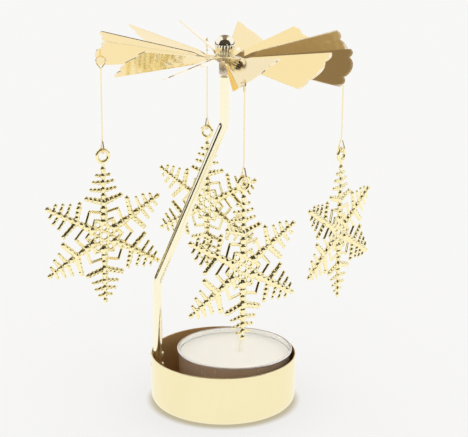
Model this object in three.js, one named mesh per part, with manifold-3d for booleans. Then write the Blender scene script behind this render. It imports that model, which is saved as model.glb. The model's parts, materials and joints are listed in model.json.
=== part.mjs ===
// Candle carousel: the warm air of a tealight turns a twelve-vane rotor, and four
// snowflakes hang from it on wires. Millimetres, +Z up. The origin is the centre of
// the tray's underside, and the rotor turns about the Z axis.
import * as THREE from "three";
import { mergeVertices } from "three/addons/utils/BufferGeometryUtils.js";
import Module from "manifold-3d";

const wasm = await Module();
wasm.setup();

// Shared values
const seatGap = 0.3; // between pieces that meet on curved faces
const slipGap = 0.1; // between a shank or a filling and what surrounds it
const overrun = 1; // how far a cutting tool runs past what it cuts
const roundSteps = 40; // facets round the tray, the cup and the wax
const smallSteps = 18; // facets round the knob and the turned pieces
const weldDistance = 1e-5;

// Tray
const trayRadius = 24;
const trayHeight = 16.8;
const trayWall = 0.4;
const trayCornerRadius = 3;
const trayCornerSteps = 3;
const trayRimSteps = 2;

// Post: a bent rod that stands inside the tray's wall, leans over to the middle
// and ends in a turned pin with a sharp tip
const postRadius = 1.5;
const postFootHeight = 6.5;
const postLowerBendHeight = 41.2;
const postUpperBendHeight = 94;
const postBendRadius = 7;
const postBendSteps = 5;
const postSides = 16;
const postShoulderHeight = 109.3;
const postChamfer = 0.4;
const pinRadius = 0.6;
const pinTipRadius = 0.08;
const pinTaper = 0.9;
const pinLength = 8.7; // from the shoulder to the tip that the rotor balances on

// Rivets that hold the post to the tray's wall
const rivetShankRadius = 0.6;
const rivetHeadRadius = 0.95;
const rivetInnerHead = 0.6;
const rivetOuterHead = 0.35;
const rivetSeatDepth = 0.2; // flat on the rod under the inner head
const rivetUpperHeight = 15.75;
const rivetLowerHeight = 12;

// Rotor, measured from the tip of the pin that it balances on
const rotorLean = 1.9; // degrees that the rotor rests out of level
const rotorLeanAzimuth = -18; // degrees, the side that hangs low
const rotorPhase = 13.8; // degrees, the middle of the vane over the right snowflake
const sheet = 0.3;
const hubRadius = 5.2;
const hubTop = -3.2;

// Vanes
const vaneCount = 12;
const vaneTwist = 35; // degrees
const vaneRise = 3; // degrees
const vaneTwistLength = 5;
const vaneTwistSteps = 5;
const vaneNeckHalfWidth = 1.15;
const vaneCornerHalfWidth = 8.3;
const vaneNotchReach = 39;
const vaneCornerDrop = 0.4; // of the outer corners' reach under the notches'
const vaneNotchHalfWidth = 4.35;
const vaneFlankHalfWidth = 2.2;
const vaneLobeHeight = 1.9; // of the middle lobe over the notches
const vaneLobeSteps = 3;
// Each vane is bent by hand, so the twelve differ a little.
const vaneTwistShares = [1.2, 1, 1, 1, 1, 1, 1, 1, 0.75, 1, 1, 1];
const vaneRiseShares = [1.4, 1, 1, 1.1, 0.9, 1, 1, 0.9, 1.4, 1, 1.1, 0.2];

// Knob, bush and washer of the rotor
const knobBallRadius = 3.25;
const knobBallHeight = 0.9; // of the ball's centre over the pin's tip
const knobNeckRadius = 2.9;
const knobFlangeRadius = 3.75;
const knobFlangeThickness = 0.6;
const knobRoundSteps = 8;
const bushRadius = 1.65;
const bushBoreRadius = 1.15;
const bushSpigotRadius = 1.5;
const bushSpigotHeight = 1.4; // above the vane sheet
const bushClearance = 0.4; // over the post's shoulder
const washerRadius = 3;
const washerThickness = 0.5;

// Hanger wires
const wireRadius = 0.23;
const wireSides = 5;
const wireEyeSteps = 10;
const wireLength = 28.6; // from the vane to where the snowflake's ring bears
const topEyeRadius = 1.5;
const topEyeApex = 2.35; // from the eye's centre to where its two sides meet
const topEyeDrop = 0.65; // of the eye's centre below the vane
const lowEyeRadius = 1.15;
const lowEyeApex = 3.6;
const hookHoleRadius = 0.75;
const hookOffset = 4; // of the hole from the vane's middle
const hookHoleSteps = 8;

// Snowflakes
const flakeRadius = 22.7;
const flakeThickness = 1.2;
const flakeRingRadius = 1.95;
const flakeRingTube = 0.62;
const flakeRingSteps = 12;
const flakeRingSides = 6;
const flakeRingDrop = 26.2; // from the ring's centre to the snowflake's centre
const flakeNeckHalfWidth = 0.6;
const flakeArms = 6;
const spineStart = 3.2;
const spineRootHalfWidth = 1.1;
const spineTipHalfWidth = 0.65;
const branchAngle = 73; // degrees from the arm
const twigAngle = 82; // degrees from the arm
const branchHalfWidth = 0.85;
const twigHalfWidth = 0.62;
const twigTipHalfWidth = 0.42;
const branchReach = 11;
const branchLength = 6.6;
const twigReaches = [14.9, 17.4, 19.7];
const twigLengths = [4.5, 3.6, 2.4];
const taperShare = 0.8; // of a branch's width, at its tip
const chevronHalfWidth = 0.4;
const chevronReaches = [7.5, 4.8]; // where the legs leave the arms
const chevronCorners = [9.8, 6.3]; // where the two legs meet, between the arms
const rosetteRadius = 3.9;
const rosetteSteps = 12;
const rosetteHoleRadius = 1;
const rosetteHoleSteps = 8;

// Hangers, by where they hang when the carousel rests: the vane that carries each
// one, the direction of the snowflake's plane in degrees, and the wire's share of
// the common length, since the wires are bent by hand
const hangers = [
  { side: "right", vane: 0, flakeYaw: 55.5, wireShare: 1 },
  { side: "back", vane: 3, flakeYaw: -30, wireShare: 1.031 },
  { side: "left", vane: 6, flakeYaw: 28.5, wireShare: 1 },
  { side: "front", vane: 9, flakeYaw: 36.4, wireShare: 0.963 },
];

// Tealight, which stands a little off the middle, against the tray's wall
const tealightX = 3.7;
const tealightY = 1.9;
const cupPlay = 0.24; // between the cup's rim and the tray's wall where they are closest
const cupRimWidth = 0.4; // that the rim stands out from the wall
const cupFlare = 0.8; // that the wall leans out from its foot to its top
const cupCornerRadius = 1.2;
const cupCornerSteps = 2;
const cupHeight = 17.2;
const cupWall = 0.35;
const cupBead = 0.7;
const waxTopDepth = 2.1; // below the cup's rim
const waxMeniscus = 0.35;
const waxMeniscusWidth = 1.6;
const wickX = 1.9; // the wick stands off the cup's middle
const wickY = 0.6;
const wickRadius = 0.65;
const wickHeight = 6.5; // above the wax
const wickSides = 10;
const tabRadius = 6;
const tabThickness = 0.3;
const tabNeckRadius = 1.4;
const tabNeckHeight = 3;

const degrees = THREE.MathUtils.degToRad;

// Finishes
const paleGold = new THREE.MeshStandardMaterial({ color: 0xf2dc9a, metalness: 1, roughness: 0.12 });
const gold = new THREE.MeshStandardMaterial({ color: 0xf4d98c, metalness: 1, roughness: 0.2 });
const aluminium = new THREE.MeshStandardMaterial({ color: 0xd9d9dc, metalness: 1, roughness: 0.3 });
const wax = new THREE.MeshStandardMaterial({ color: 0xf3eddd, metalness: 0, roughness: 0.5 });
const cotton = new THREE.MeshStandardMaterial({ color: 0xf2efe6, metalness: 0, roughness: 0.9 });

// Geometry helpers

// Points of an arc in a profile, from one angle to another.
function arc(centreX, centreY, radius, fromDegrees, toDegrees, steps) {
  return Array.from({ length: steps + 1 }, (_, step) => {
    const angle = degrees(fromDegrees + ((toDegrees - fromDegrees) * step) / steps);
    return new THREE.Vector2(centreX + radius * Math.cos(angle), centreY + radius * Math.sin(angle));
  });
}

// A turned body about Z. The profile runs up its outside and holds radius and height.
function turned(profile, steps) {
  return new THREE.LatheGeometry(profile, steps).rotateX(Math.PI / 2);
}

function point(radius, height) {
  return new THREE.Vector2(radius, height);
}

// A closed skin over a row of rings, each with the same number of points, which run
// counterclockwise as seen from the last ring. Both ends are capped flat.
function loft(rings) {
  const count = rings[0].length;
  const last = (rings.length - 1) * count;
  const indices = [];
  for (let ring = 0; ring + 1 < rings.length; ring += 1) {
    for (let side = 0; side < count; side += 1) {
      const a = ring * count + side;
      const b = ring * count + ((side + 1) % count);
      indices.push(a, b, b + count, a, b + count, a + count);
    }
  }
  for (let side = 1; side + 1 < count; side += 1) {
    indices.push(0, side + 1, side, last, last + side, last + side + 1);
  }
  const geometry = new THREE.BufferGeometry();
  geometry.setFromPoints(rings.flat());
  geometry.setIndex(indices);
  return geometry;
}

// A round rod along a path, with one radius for each point of the path.
function rod(path, radii, sides) {
  const tangents = path.map((_, index) => {
    const before = path[Math.max(index - 1, 0)];
    const after = path[Math.min(index + 1, path.length - 1)];
    return after.clone().sub(before).normalize();
  });
  const upright = Math.abs(tangents[0].y) > Math.SQRT1_2 ? new THREE.Vector3(1, 0, 0) : new THREE.Vector3(0, 1, 0);
  const across = upright.cross(tangents[0]).normalize();
  const rings = path.map((centre, index) => {
    if (index > 0) {
      const turn = new THREE.Quaternion().setFromUnitVectors(tangents[index - 1], tangents[index]);
      across.applyQuaternion(turn);
    }
    const along = tangents[index].clone().cross(across);
    return Array.from({ length: sides }, (_, side) => {
      const angle = (2 * Math.PI * side) / sides;
      return centre
        .clone()
        .addScaledVector(across, radii[index] * Math.cos(angle))
        .addScaledVector(along, radii[index] * Math.sin(angle));
    });
  });
  return loft(rings);
}

// A path through corners, each rounded to a radius.
function filletPath(corners, radius, steps) {
  const path = [corners[0]];
  for (let index = 1; index + 1 < corners.length; index += 1) {
    const corner = corners[index];
    const back = corners[index - 1].clone().sub(corner).normalize();
    const ahead = corners[index + 1].clone().sub(corner).normalize();
    const half = back.angleTo(ahead) / 2;
    const inward = back.clone().add(ahead).normalize();
    const centre = corner.clone().addScaledVector(inward, radius / Math.sin(half));
    const start = corner.clone().addScaledVector(back, radius / Math.tan(half)).sub(centre);
    const axis = start.clone().cross(ahead).normalize();
    for (let step = 0; step <= steps; step += 1) {
      const turn = ((Math.PI - 2 * half) * step) / steps;
      path.push(start.clone().applyAxisAngle(axis, turn).add(centre));
    }
  }
  path.push(corners[corners.length - 1]);
  return path;
}

// A plate from an outline drawn flat, with its middle plane at zero height.
function plate(shape, thickness, curveSegments) {
  const options = { depth: thickness, bevelEnabled: false, curveSegments };
  return new THREE.ExtrudeGeometry(shape, options).translate(0, 0, -thickness / 2);
}

function toSolid(geometry) {
  const bare = geometry.clone();
  bare.deleteAttribute("normal");
  bare.deleteAttribute("uv");
  const merged = mergeVertices(bare, weldDistance);
  const index = merged.index.array;
  const triangles = [];
  for (let corner = 0; corner < index.length; corner += 3) {
    const [a, b, c] = index.slice(corner, corner + 3);
    if (a !== b && b !== c && c !== a) triangles.push(a, b, c);
  }
  const vertProperties = new Float32Array(merged.attributes.position.array);
  const triVerts = new Uint32Array(triangles);
  return new wasm.Manifold(new wasm.Mesh({ numProp: 3, vertProperties, triVerts }));
}

function toGeometry(solid) {
  const mesh = solid.getMesh();
  const geometry = new THREE.BufferGeometry();
  geometry.setAttribute("position", new THREE.BufferAttribute(new Float32Array(mesh.vertProperties), 3));
  geometry.setIndex(new THREE.BufferAttribute(new Uint32Array(mesh.triVerts), 1));
  geometry.computeVertexNormals();
  return geometry;
}

// One body from geometries that overlap, less any that cut it.
function fused(geometries, cutters = []) {
  const whole = geometries.map(toSolid).reduce((sum, next) => sum.add(next));
  return toGeometry(cutters.map(toSolid).reduce((rest, cutter) => rest.subtract(cutter), whole));
}

function mesh(name, geometry, material) {
  const piece = new THREE.Mesh(geometry, material);
  piece.name = name;
  return piece;
}

// Tray and post

const trayInnerRadius = trayRadius - trayWall;
const postX = -(trayInnerRadius - seatGap - postRadius);
const pivotHeight = postShoulderHeight + pinLength;

// A cylinder along X at a rivet's height, between two places on the X axis.
function crossBore(radius, fromX, toX, height) {
  return new THREE.CylinderGeometry(radius, radius, toX - fromX, smallSteps / 2)
    .rotateZ(Math.PI / 2)
    .translate((fromX + toX) / 2, 0, height);
}

function trayGeometry() {
  const inset = trayRadius - trayCornerRadius;
  const round = trayWall / 2;
  const profile = [
    point(0, 0),
    ...arc(inset, trayCornerRadius, trayCornerRadius, -90, 0, trayCornerSteps),
    ...arc(trayRadius - round, trayHeight - round, round, 0, 180, trayRimSteps),
    ...arc(inset, trayCornerRadius, trayCornerRadius - trayWall, 0, -90, trayCornerSteps),
    point(0, trayWall),
  ];
  const holes = [rivetUpperHeight, rivetLowerHeight].map((height) =>
    crossBore(rivetShankRadius + slipGap, -trayRadius - overrun, -trayInnerRadius + overrun, height),
  );
  return fused([turned(profile, roundSteps)], holes);
}

const headSeatX = postX + postRadius - rivetSeatDepth;

function postGeometry() {
  const foot = new THREE.Vector3(postX, 0, postFootHeight + postChamfer);
  const lowerBend = new THREE.Vector3(postX, 0, postLowerBendHeight);
  const upperBend = new THREE.Vector3(0, 0, postUpperBendHeight);
  const shoulder = new THREE.Vector3(0, 0, postShoulderHeight - postChamfer);
  const bent = filletPath([foot, lowerBend, upperBend, shoulder], postBendRadius, postBendSteps);
  const path = [
    new THREE.Vector3(postX, 0, postFootHeight),
    ...bent,
    new THREE.Vector3(0, 0, postShoulderHeight),
    new THREE.Vector3(0, 0, pivotHeight - pinTaper),
    new THREE.Vector3(0, 0, pivotHeight),
  ];
  const radii = [postRadius - postChamfer, ...bent.map(() => postRadius), pinRadius, pinRadius, pinTipRadius];
  const cutters = [rivetUpperHeight, rivetLowerHeight].flatMap((height) => [
    crossBore(rivetShankRadius + slipGap, postX - postRadius - overrun, postX + postRadius + overrun, height),
    crossBore(rivetHeadRadius + slipGap, headSeatX, postX + postRadius + overrun, height),
  ]);
  return fused([rod(path, radii, postSides)], cutters);
}

// A rivet through the wall and the post, with a round head at each end.
function rivetGeometry(height) {
  const shankLength = headSeatX + trayRadius;
  const profile = [
    point(0, -rivetOuterHead),
    point(rivetHeadRadius / 2, -rivetOuterHead),
    point(rivetHeadRadius, -slipGap),
    point(rivetShankRadius, -slipGap),
    point(rivetShankRadius, shankLength),
    point(rivetHeadRadius, shankLength),
    point(rivetHeadRadius, shankLength + rivetInnerHead / 3),
    point(rivetHeadRadius / 2, shankLength + rivetInnerHead),
    point(0, shankLength + rivetInnerHead),
  ];
  return turned(profile, smallSteps / 2)
    .rotateY(Math.PI / 2)
    .translate(-trayRadius, 0, height);
}

// Rotor

// Where a point of a flat vane blank lies once the vane is twisted and raised: reach
// from the axis, offset across the vane and height over the blank's middle plane.
function vanePoint(reach, offset, height, vane) {
  const free = Math.max(reach - hubRadius, 0);
  const share = THREE.MathUtils.smoothstep(free, 0, vaneTwistLength);
  const twist = degrees(vaneTwist * vaneTwistShares[vane] * share);
  const rise = degrees(vaneRise * vaneRiseShares[vane]);
  return new THREE.Vector3(
    Math.min(reach, hubRadius) + free * Math.cos(rise),
    offset * Math.cos(twist) - height * Math.sin(twist),
    free * Math.sin(rise) + offset * Math.sin(twist) + height * Math.cos(twist),
  );
}

function vaneAzimuth(vane) {
  return degrees(rotorPhase + (360 * vane) / vaneCount);
}

function vaneHalfWidth(reach) {
  const share = (reach - hubRadius) / (vaneCornerReach - hubRadius);
  return vaneNeckHalfWidth + (vaneCornerHalfWidth - vaneNeckHalfWidth) * Math.max(share, 0);
}

const vaneCornerReach = vaneNotchReach - vaneCornerDrop;
const vaneLobeReach = vaneNotchReach + vaneLobeHeight;
const sheetMiddle = hubTop - sheet / 2;
const hookReach = vaneNotchReach - topEyeRadius - seatGap;
const vaneTwistEnd = hubRadius + vaneTwistLength;

function vaneShape(hooked) {
  const start = vaneTwistEnd;
  const shape = new THREE.Shape();
  const lobeFlank = vaneLobeReach + vaneLobeHeight / 4;
  const smallLobe = vaneLobeReach + vaneLobeHeight / 2;
  shape.moveTo(start, -vaneHalfWidth(start));
  shape.lineTo(vaneCornerReach, -vaneCornerHalfWidth);
  shape.quadraticCurveTo(smallLobe, -vaneCornerHalfWidth, vaneNotchReach, -vaneNotchHalfWidth);
  shape.quadraticCurveTo(lobeFlank, -vaneFlankHalfWidth, vaneLobeReach, 0);
  shape.quadraticCurveTo(lobeFlank, vaneFlankHalfWidth, vaneNotchReach, vaneNotchHalfWidth);
  shape.quadraticCurveTo(smallLobe, vaneCornerHalfWidth, vaneCornerReach, vaneCornerHalfWidth);
  shape.lineTo(start, vaneHalfWidth(start));
  if (hooked) {
    const hole = new THREE.Path();
    hole.setFromPoints(arc(hookReach, -hookOffset, hookHoleRadius, 360, 0, hookHoleSteps).slice(1));
    shape.holes.push(hole);
  }
  return shape;
}

function vaneGeometries(vane) {
  const hooked = hangers.some((hanger) => hanger.vane === vane);
  const blade = plate(vaneShape(hooked), sheet, vaneLobeSteps);
  const places = blade.attributes.position;
  for (let index = 0; index < places.count; index += 1) {
    const flat = new THREE.Vector3().fromBufferAttribute(places, index);
    places.setXYZ(index, ...vanePoint(flat.x, flat.y, flat.z, vane));
  }
  const neckStart = (hubRadius + knobFlangeRadius) / 2;
  const neckEnd = vaneTwistEnd + vaneTwistLength / vaneTwistSteps;
  const rings = Array.from({ length: vaneTwistSteps + 3 }, (_, step) => {
    const reach = step === 0 ? neckStart : hubRadius + ((neckEnd - hubRadius) * (step - 1)) / (vaneTwistSteps + 1);
    const half = vaneHalfWidth(reach);
    return [
      vanePoint(reach, -half, -sheet / 2, vane),
      vanePoint(reach, half, -sheet / 2, vane),
      vanePoint(reach, half, sheet / 2, vane),
      vanePoint(reach, -half, sheet / 2, vane),
    ];
  });
  return [blade, loft(rings)].map((piece) => piece.rotateZ(vaneAzimuth(vane)).translate(0, 0, sheetMiddle));
}

function vaneDiscGeometry() {
  const bore = bushSpigotRadius + seatGap;
  const hub = turned(
    [
      point(bore, hubTop - sheet),
      point(hubRadius, hubTop - sheet),
      point(hubRadius, hubTop),
      point(bore, hubTop),
      point(bore, hubTop - sheet),
    ],
    roundSteps,
  );
  const vanes = Array.from({ length: vaneCount }, (_, vane) => vaneGeometries(vane)).flat();
  return fused([hub, ...vanes]);
}

function knobGeometry() {
  const flangeTop = hubTop + knobFlangeThickness;
  const neckTop = knobBallHeight - Math.sqrt(knobBallRadius ** 2 - knobNeckRadius ** 2);
  const neckAngle = -90 + THREE.MathUtils.radToDeg(Math.asin(knobNeckRadius / knobBallRadius));
  const boreTop = hubTop + bushSpigotHeight + seatGap;
  const profile = [
    point(bushSpigotRadius + seatGap, hubTop),
    point(knobFlangeRadius - slipGap, hubTop),
    point(knobFlangeRadius, hubTop + knobFlangeThickness / 2),
    point(knobFlangeRadius - slipGap, flangeTop),
    point((knobFlangeRadius + knobNeckRadius) / 2, (flangeTop * 2 + neckTop) / 3),
    ...arc(0, knobBallHeight, knobBallRadius, neckAngle, 90, knobRoundSteps).slice(0, -1),
    point(0, knobBallHeight + knobBallRadius),
    point(0, seatGap),
    point(bushBoreRadius, seatGap - pinTaper * 2),
    point(bushBoreRadius, boreTop),
    point(bushSpigotRadius + seatGap, boreTop),
    point(bushSpigotRadius + seatGap, hubTop),
  ];
  return turned(profile, smallSteps);
}

function washerGeometry() {
  const top = hubTop - sheet;
  const bore = bushSpigotRadius + seatGap;
  const profile = [
    point(bore, top - washerThickness),
    point(washerRadius - slipGap, top - washerThickness),
    point(washerRadius, top - washerThickness + slipGap),
    point(washerRadius, top),
    point(bore, top),
    point(bore, top - washerThickness),
  ];
  return turned(profile, smallSteps);
}

function bushGeometry() {
  const seat = hubTop - sheet - washerThickness;
  const bottom = postShoulderHeight + bushClearance - pivotHeight;
  const top = hubTop + bushSpigotHeight;
  const profile = [
    point(bushBoreRadius, bottom),
    point(bushRadius - slipGap, bottom),
    point(bushRadius, bottom + slipGap),
    point(bushRadius, seat - slipGap),
    point(bushRadius + slipGap, seat),
    point(bushSpigotRadius, seat),
    point(bushSpigotRadius, top),
    point(bushBoreRadius, top),
    point(bushBoreRadius, bottom),
  ];
  return turned(profile, smallSteps);
}

// Hangers

// The eye at one end of a wire, drawn in X and Z round its centre: the wire leaves
// the apex, goes once round and ends beside itself. A positive apex lies above.
function eyePath(radius, apex) {
  const side = Math.sign(apex);
  const half = Math.asin(radius / Math.abs(apex));
  const tangentAngle = (side * Math.PI) / 2 - side * (Math.PI / 2 - half);
  const sweep = -side * (Math.PI + 2 * half);
  const path = [];
  const bend = Math.abs(apex) - radius * Math.sin(half);
  const shank = new THREE.Vector3(0, 0, apex + (side * bend) / 3);
  const corner = new THREE.Vector3(0, 0, apex);
  const tangent = new THREE.Vector3(radius * Math.cos(half), 0, side * radius * Math.sin(half));
  const entry = corner.clone().lerp(tangent, 1 / 3);
  path.push(...new THREE.QuadraticBezierCurve3(shank, corner, entry).getPoints(3));
  for (let step = 0; step <= wireEyeSteps; step += 1) {
    const angle = tangentAngle + (sweep * step) / wireEyeSteps;
    path.push(new THREE.Vector3(radius * Math.cos(angle), 0, radius * Math.sin(angle)));
  }
  const spread = (2 * wireRadius + slipGap) / 2;
  const closeness = 1 - spread / (radius * Math.cos(half));
  const mirrored = tangent.clone().setX(-tangent.x);
  path.push(mirrored.lerp(corner, Math.max(closeness, 0)));
  return path;
}

// A wire whose upper eye lies in the plane of X and Z round the vane's edge, and
// whose lower eye is turned to face across its snowflake.
function wireGeometry(lowEyeYaw, length) {
  const upper = eyePath(topEyeRadius, -topEyeApex)
    .map((place) => place.setZ(place.z - topEyeDrop))
    .reverse();
  const lower = eyePath(lowEyeRadius, lowEyeApex).map((place) =>
    place.applyAxisAngle(new THREE.Vector3(0, 0, 1), lowEyeYaw).setZ(place.z - length),
  );
  const path = [...upper, ...lower];
  return rod(path, path.map(() => wireRadius), wireSides);
}

// A tapered bar in the snowflake's plane, from one place to another.
function bar(from, to, fromHalfWidth, toHalfWidth) {
  const along = to.clone().sub(from).normalize();
  const left = new THREE.Vector2(-along.y, along.x);
  const corners = [
    from.clone().addScaledVector(left, -fromHalfWidth),
    to.clone().addScaledVector(left, -toHalfWidth),
    to.clone().addScaledVector(left, toHalfWidth),
    from.clone().addScaledVector(left, fromHalfWidth),
  ];
  return plate(new THREE.Shape(corners), flakeThickness, 1);
}

function polar(reach, angle) {
  return new THREE.Vector2(reach * Math.cos(angle), reach * Math.sin(angle));
}

// One arm: its spine, the long branches and the rows of twigs, all a little tapered.
function armGeometries(angle) {
  const spine = bar(polar(spineStart, angle), polar(flakeRadius, angle), spineRootHalfWidth, spineTipHalfWidth);
  const pair = (reach, length, slant, rootHalfWidth, tipHalfWidth) =>
    [-1, 1].map((side) => {
      const root = polar(reach, angle);
      const tip = polar(length, angle + side * degrees(slant)).add(root);
      return bar(root, tip, rootHalfWidth, tipHalfWidth);
    });
  const branches = pair(branchReach, branchLength, branchAngle, branchHalfWidth, branchHalfWidth * taperShare);
  const twigs = twigReaches.flatMap((reach, row) =>
    pair(reach, twigLengths[row], twigAngle, twigHalfWidth, twigTipHalfWidth),
  );
  return [spine, ...branches, ...twigs];
}

// A bent bar between two neighbouring arms, pointing outwards.
function chevron(reach, cornerReach, angle) {
  const halfPitch = Math.PI / flakeArms;
  const corner = polar(cornerReach, 0);
  const end = polar(reach, halfPitch);
  const leg = end.clone().sub(corner).normalize();
  const across = new THREE.Vector2(-leg.y, leg.x).multiplyScalar(-chevronHalfWidth);
  const cornerOffset = chevronHalfWidth / leg.y;
  const upper = [end.clone().sub(across), end.clone().add(across)];
  const outline = [
    new THREE.Vector2(cornerReach - cornerOffset, 0),
    new THREE.Vector2(upper[0].x, -upper[0].y),
    new THREE.Vector2(upper[1].x, -upper[1].y),
    new THREE.Vector2(cornerReach + cornerOffset, 0),
    upper[1],
    upper[0],
  ];
  return plate(new THREE.Shape(outline), flakeThickness, 1).rotateZ(angle);
}

// A snowflake that hangs by its ring, with the origin where the ring bears on the
// wire. It stands in the plane of X and Z.
function flakeGeometry() {
  const flatRosette = new THREE.Shape(arc(0, 0, rosetteRadius, 0, 360, rosetteSteps).slice(1));
  flatRosette.holes = [new THREE.Path(arc(0, 0, rosetteHoleRadius, 360, 0, rosetteHoleSteps).slice(1))];
  const neckTop = new THREE.Vector2(0, flakeRingDrop - flakeRingRadius);
  const neckFoot = new THREE.Vector2(0, flakeRadius - 2 * flakeNeckHalfWidth);
  const eye = new THREE.TorusGeometry(flakeRingRadius, flakeRingTube, flakeRingSides, flakeRingSteps)
    .rotateZ(Math.PI / flakeRingSteps)
    .translate(0, flakeRingDrop, 0);
  const pieces = [
    plate(flatRosette, flakeThickness, 1),
    bar(neckFoot, neckTop, flakeNeckHalfWidth, flakeNeckHalfWidth),
    eye,
  ];
  for (let arm = 0; arm < flakeArms; arm += 1) {
    const angle = Math.PI / 2 + (2 * Math.PI * arm) / flakeArms;
    const between = angle + Math.PI / flakeArms;
    pieces.push(...armGeometries(angle));
    pieces.push(...chevronReaches.map((reach, row) => chevron(reach, chevronCorners[row], between)));
  }
  return fused(pieces)
    .translate(0, -flakeRingDrop - flakeRingRadius, 0)
    .rotateX(Math.PI / 2);
}

// Tealight

const cupRimRadius = trayInnerRadius - Math.hypot(tealightX, tealightY) - cupPlay;
const cupTopRadius = cupRimRadius - cupRimWidth;
const cupBaseRadius = cupTopRadius - cupFlare;
const cupFloor = cupWall;
const waxTop = cupHeight - waxTopDepth;

// Radius of the cup's outside at a height.
function cupRadiusAt(height) {
  return cupBaseRadius + (cupFlare * height) / cupHeight;
}

function cupGeometry() {
  const beadBottom = cupHeight - cupBead;
  const profile = [
    point(0, 0),
    ...arc(cupBaseRadius - cupCornerRadius, cupCornerRadius, cupCornerRadius, -90, 0, cupCornerSteps),
    point(cupRadiusAt(beadBottom), beadBottom),
    point(cupRimRadius - slipGap, beadBottom),
    point(cupRimRadius, cupHeight - cupBead / 2),
    point(cupRimRadius - slipGap * 2, cupHeight),
    point(cupTopRadius - cupWall, cupHeight),
    ...arc(cupBaseRadius - cupCornerRadius, cupCornerRadius, cupCornerRadius - cupWall, 0, -90, cupCornerSteps),
    point(0, cupFloor),
  ];
  return turned(profile, roundSteps);
}

function waxGeometry() {
  const edge = (height) => cupRadiusAt(height) - cupWall - slipGap;
  const corner = cupCornerRadius - cupWall - slipGap;
  const profile = [
    point(0, cupFloor),
    point(cupBaseRadius - cupCornerRadius - corner, cupFloor),
    ...arc(cupBaseRadius - cupCornerRadius, cupCornerRadius, corner, -90, 0, cupCornerSteps),
    point(edge(waxTop + waxMeniscus), waxTop + waxMeniscus),
    point(edge(waxTop) - waxMeniscusWidth / 3, waxTop + waxMeniscus / 3),
    point(edge(waxTop) - waxMeniscusWidth, waxTop),
    point(0, waxTop),
  ];
  const bore = new THREE.CylinderGeometry(wickRadius + slipGap, wickRadius + slipGap, waxTop + overrun, wickSides)
    .rotateX(Math.PI / 2)
    .translate(wickX, wickY, (waxTop + overrun) / 2 + cupFloor);
  const recessProfile = [
    point(0, -overrun),
    point(tabRadius + slipGap, -overrun),
    point(tabRadius + slipGap, cupFloor + tabThickness + slipGap),
    point(tabNeckRadius + slipGap, cupFloor + tabThickness + slipGap),
    point(tabNeckRadius + slipGap, cupFloor + tabNeckHeight + slipGap),
    point(0, cupFloor + tabNeckHeight + slipGap),
  ];
  const recess = turned(recessProfile, smallSteps).translate(wickX, wickY, 0);
  return fused([turned(profile, roundSteps)], [bore, recess]);
}

// The metal foot that holds the wick up in the wax.
function tabGeometry() {
  const profile = [
    point(0, 0),
    point(tabRadius, 0),
    point(tabRadius, tabThickness),
    point(tabNeckRadius, tabThickness),
    point(tabNeckRadius, tabNeckHeight),
    point(wickRadius + slipGap, tabNeckHeight),
    point(wickRadius + slipGap, tabThickness),
    point(0, tabThickness),
  ];
  return turned(profile, smallSteps);
}

function wickGeometry() {
  const bottom = tabThickness;
  const top = waxTop - cupFloor + wickHeight;
  const path = [bottom, top - wickRadius, top].map((height) => new THREE.Vector3(0, 0, height));
  return rod(path, [wickRadius, wickRadius, wickRadius / 2], wickSides);
}

// Assembly

const carousel = new THREE.Group();
carousel.add(mesh("base_tray", trayGeometry(), paleGold));
carousel.add(mesh("post", postGeometry(), gold));
carousel.add(mesh("post_rivet_upper", rivetGeometry(rivetUpperHeight), gold));
carousel.add(mesh("post_rivet_lower", rivetGeometry(rivetLowerHeight), gold));

// The rotor balances on the pin's tip and rests a little out of level.
const leanSide = degrees(rotorLeanAzimuth);
const leanAxis = new THREE.Vector3(-Math.sin(leanSide), Math.cos(leanSide), 0);
const rotor = new THREE.Group();
rotor.position.set(0, 0, pivotHeight);
rotor.quaternion.setFromAxisAngle(leanAxis, degrees(rotorLean));
rotor.add(mesh("vane_disc", vaneDiscGeometry(), paleGold));
rotor.add(mesh("rotor_knob", knobGeometry(), gold));
rotor.add(mesh("rotor_washer", washerGeometry(), gold));
rotor.add(mesh("rotor_bush", bushGeometry(), gold));
carousel.add(rotor);
rotor.updateMatrixWorld(true);

// Each wire hangs plumb from its hole, wherever the lean puts that, so the wire's
// axis lies outside the hole by the eye's half width at the height of the vane.
const eyeReach = Math.sqrt(topEyeRadius ** 2 - topEyeDrop ** 2);
const flake = flakeGeometry();
for (const hanger of hangers) {
  const hole = vanePoint(hookReach, -hookOffset, 0, hanger.vane)
    .applyAxisAngle(new THREE.Vector3(0, 0, 1), vaneAzimuth(hanger.vane))
    .add(new THREE.Vector3(0, 0, sheetMiddle));
  rotor.localToWorld(hole);
  const azimuth = Math.atan2(hole.y, hole.x);
  const reach = Math.hypot(hole.x, hole.y) + eyeReach;
  const hangerGroup = new THREE.Group();
  hangerGroup.position.set(reach * Math.cos(azimuth), reach * Math.sin(azimuth), hole.z);
  hangerGroup.rotation.z = azimuth;
  const flakeYaw = degrees(hanger.flakeYaw) - azimuth;
  const length = wireLength * hanger.wireShare;
  hangerGroup.add(mesh(`hanger_wire_${hanger.side}`, wireGeometry(flakeYaw + Math.PI / 2, length), gold));
  const snowflake = mesh(`snowflake_${hanger.side}`, flake, gold);
  snowflake.position.z = -length;
  snowflake.rotation.z = flakeYaw;
  hangerGroup.add(snowflake);
  carousel.add(hangerGroup);
}

const tealight = new THREE.Group();
tealight.position.set(tealightX, tealightY, trayWall);
tealight.add(mesh("tealight_cup", cupGeometry(), aluminium));
tealight.add(mesh("tealight_wax", waxGeometry(), wax));
const wickTab = mesh("wick_tab", tabGeometry(), aluminium);
wickTab.position.set(wickX, wickY, cupFloor);
tealight.add(wickTab);
const wick = mesh("wick", wickGeometry(), cotton);
wick.position.set(wickX, wickY, cupFloor);
tealight.add(wick);
carousel.add(tealight);

export default carousel;
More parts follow.
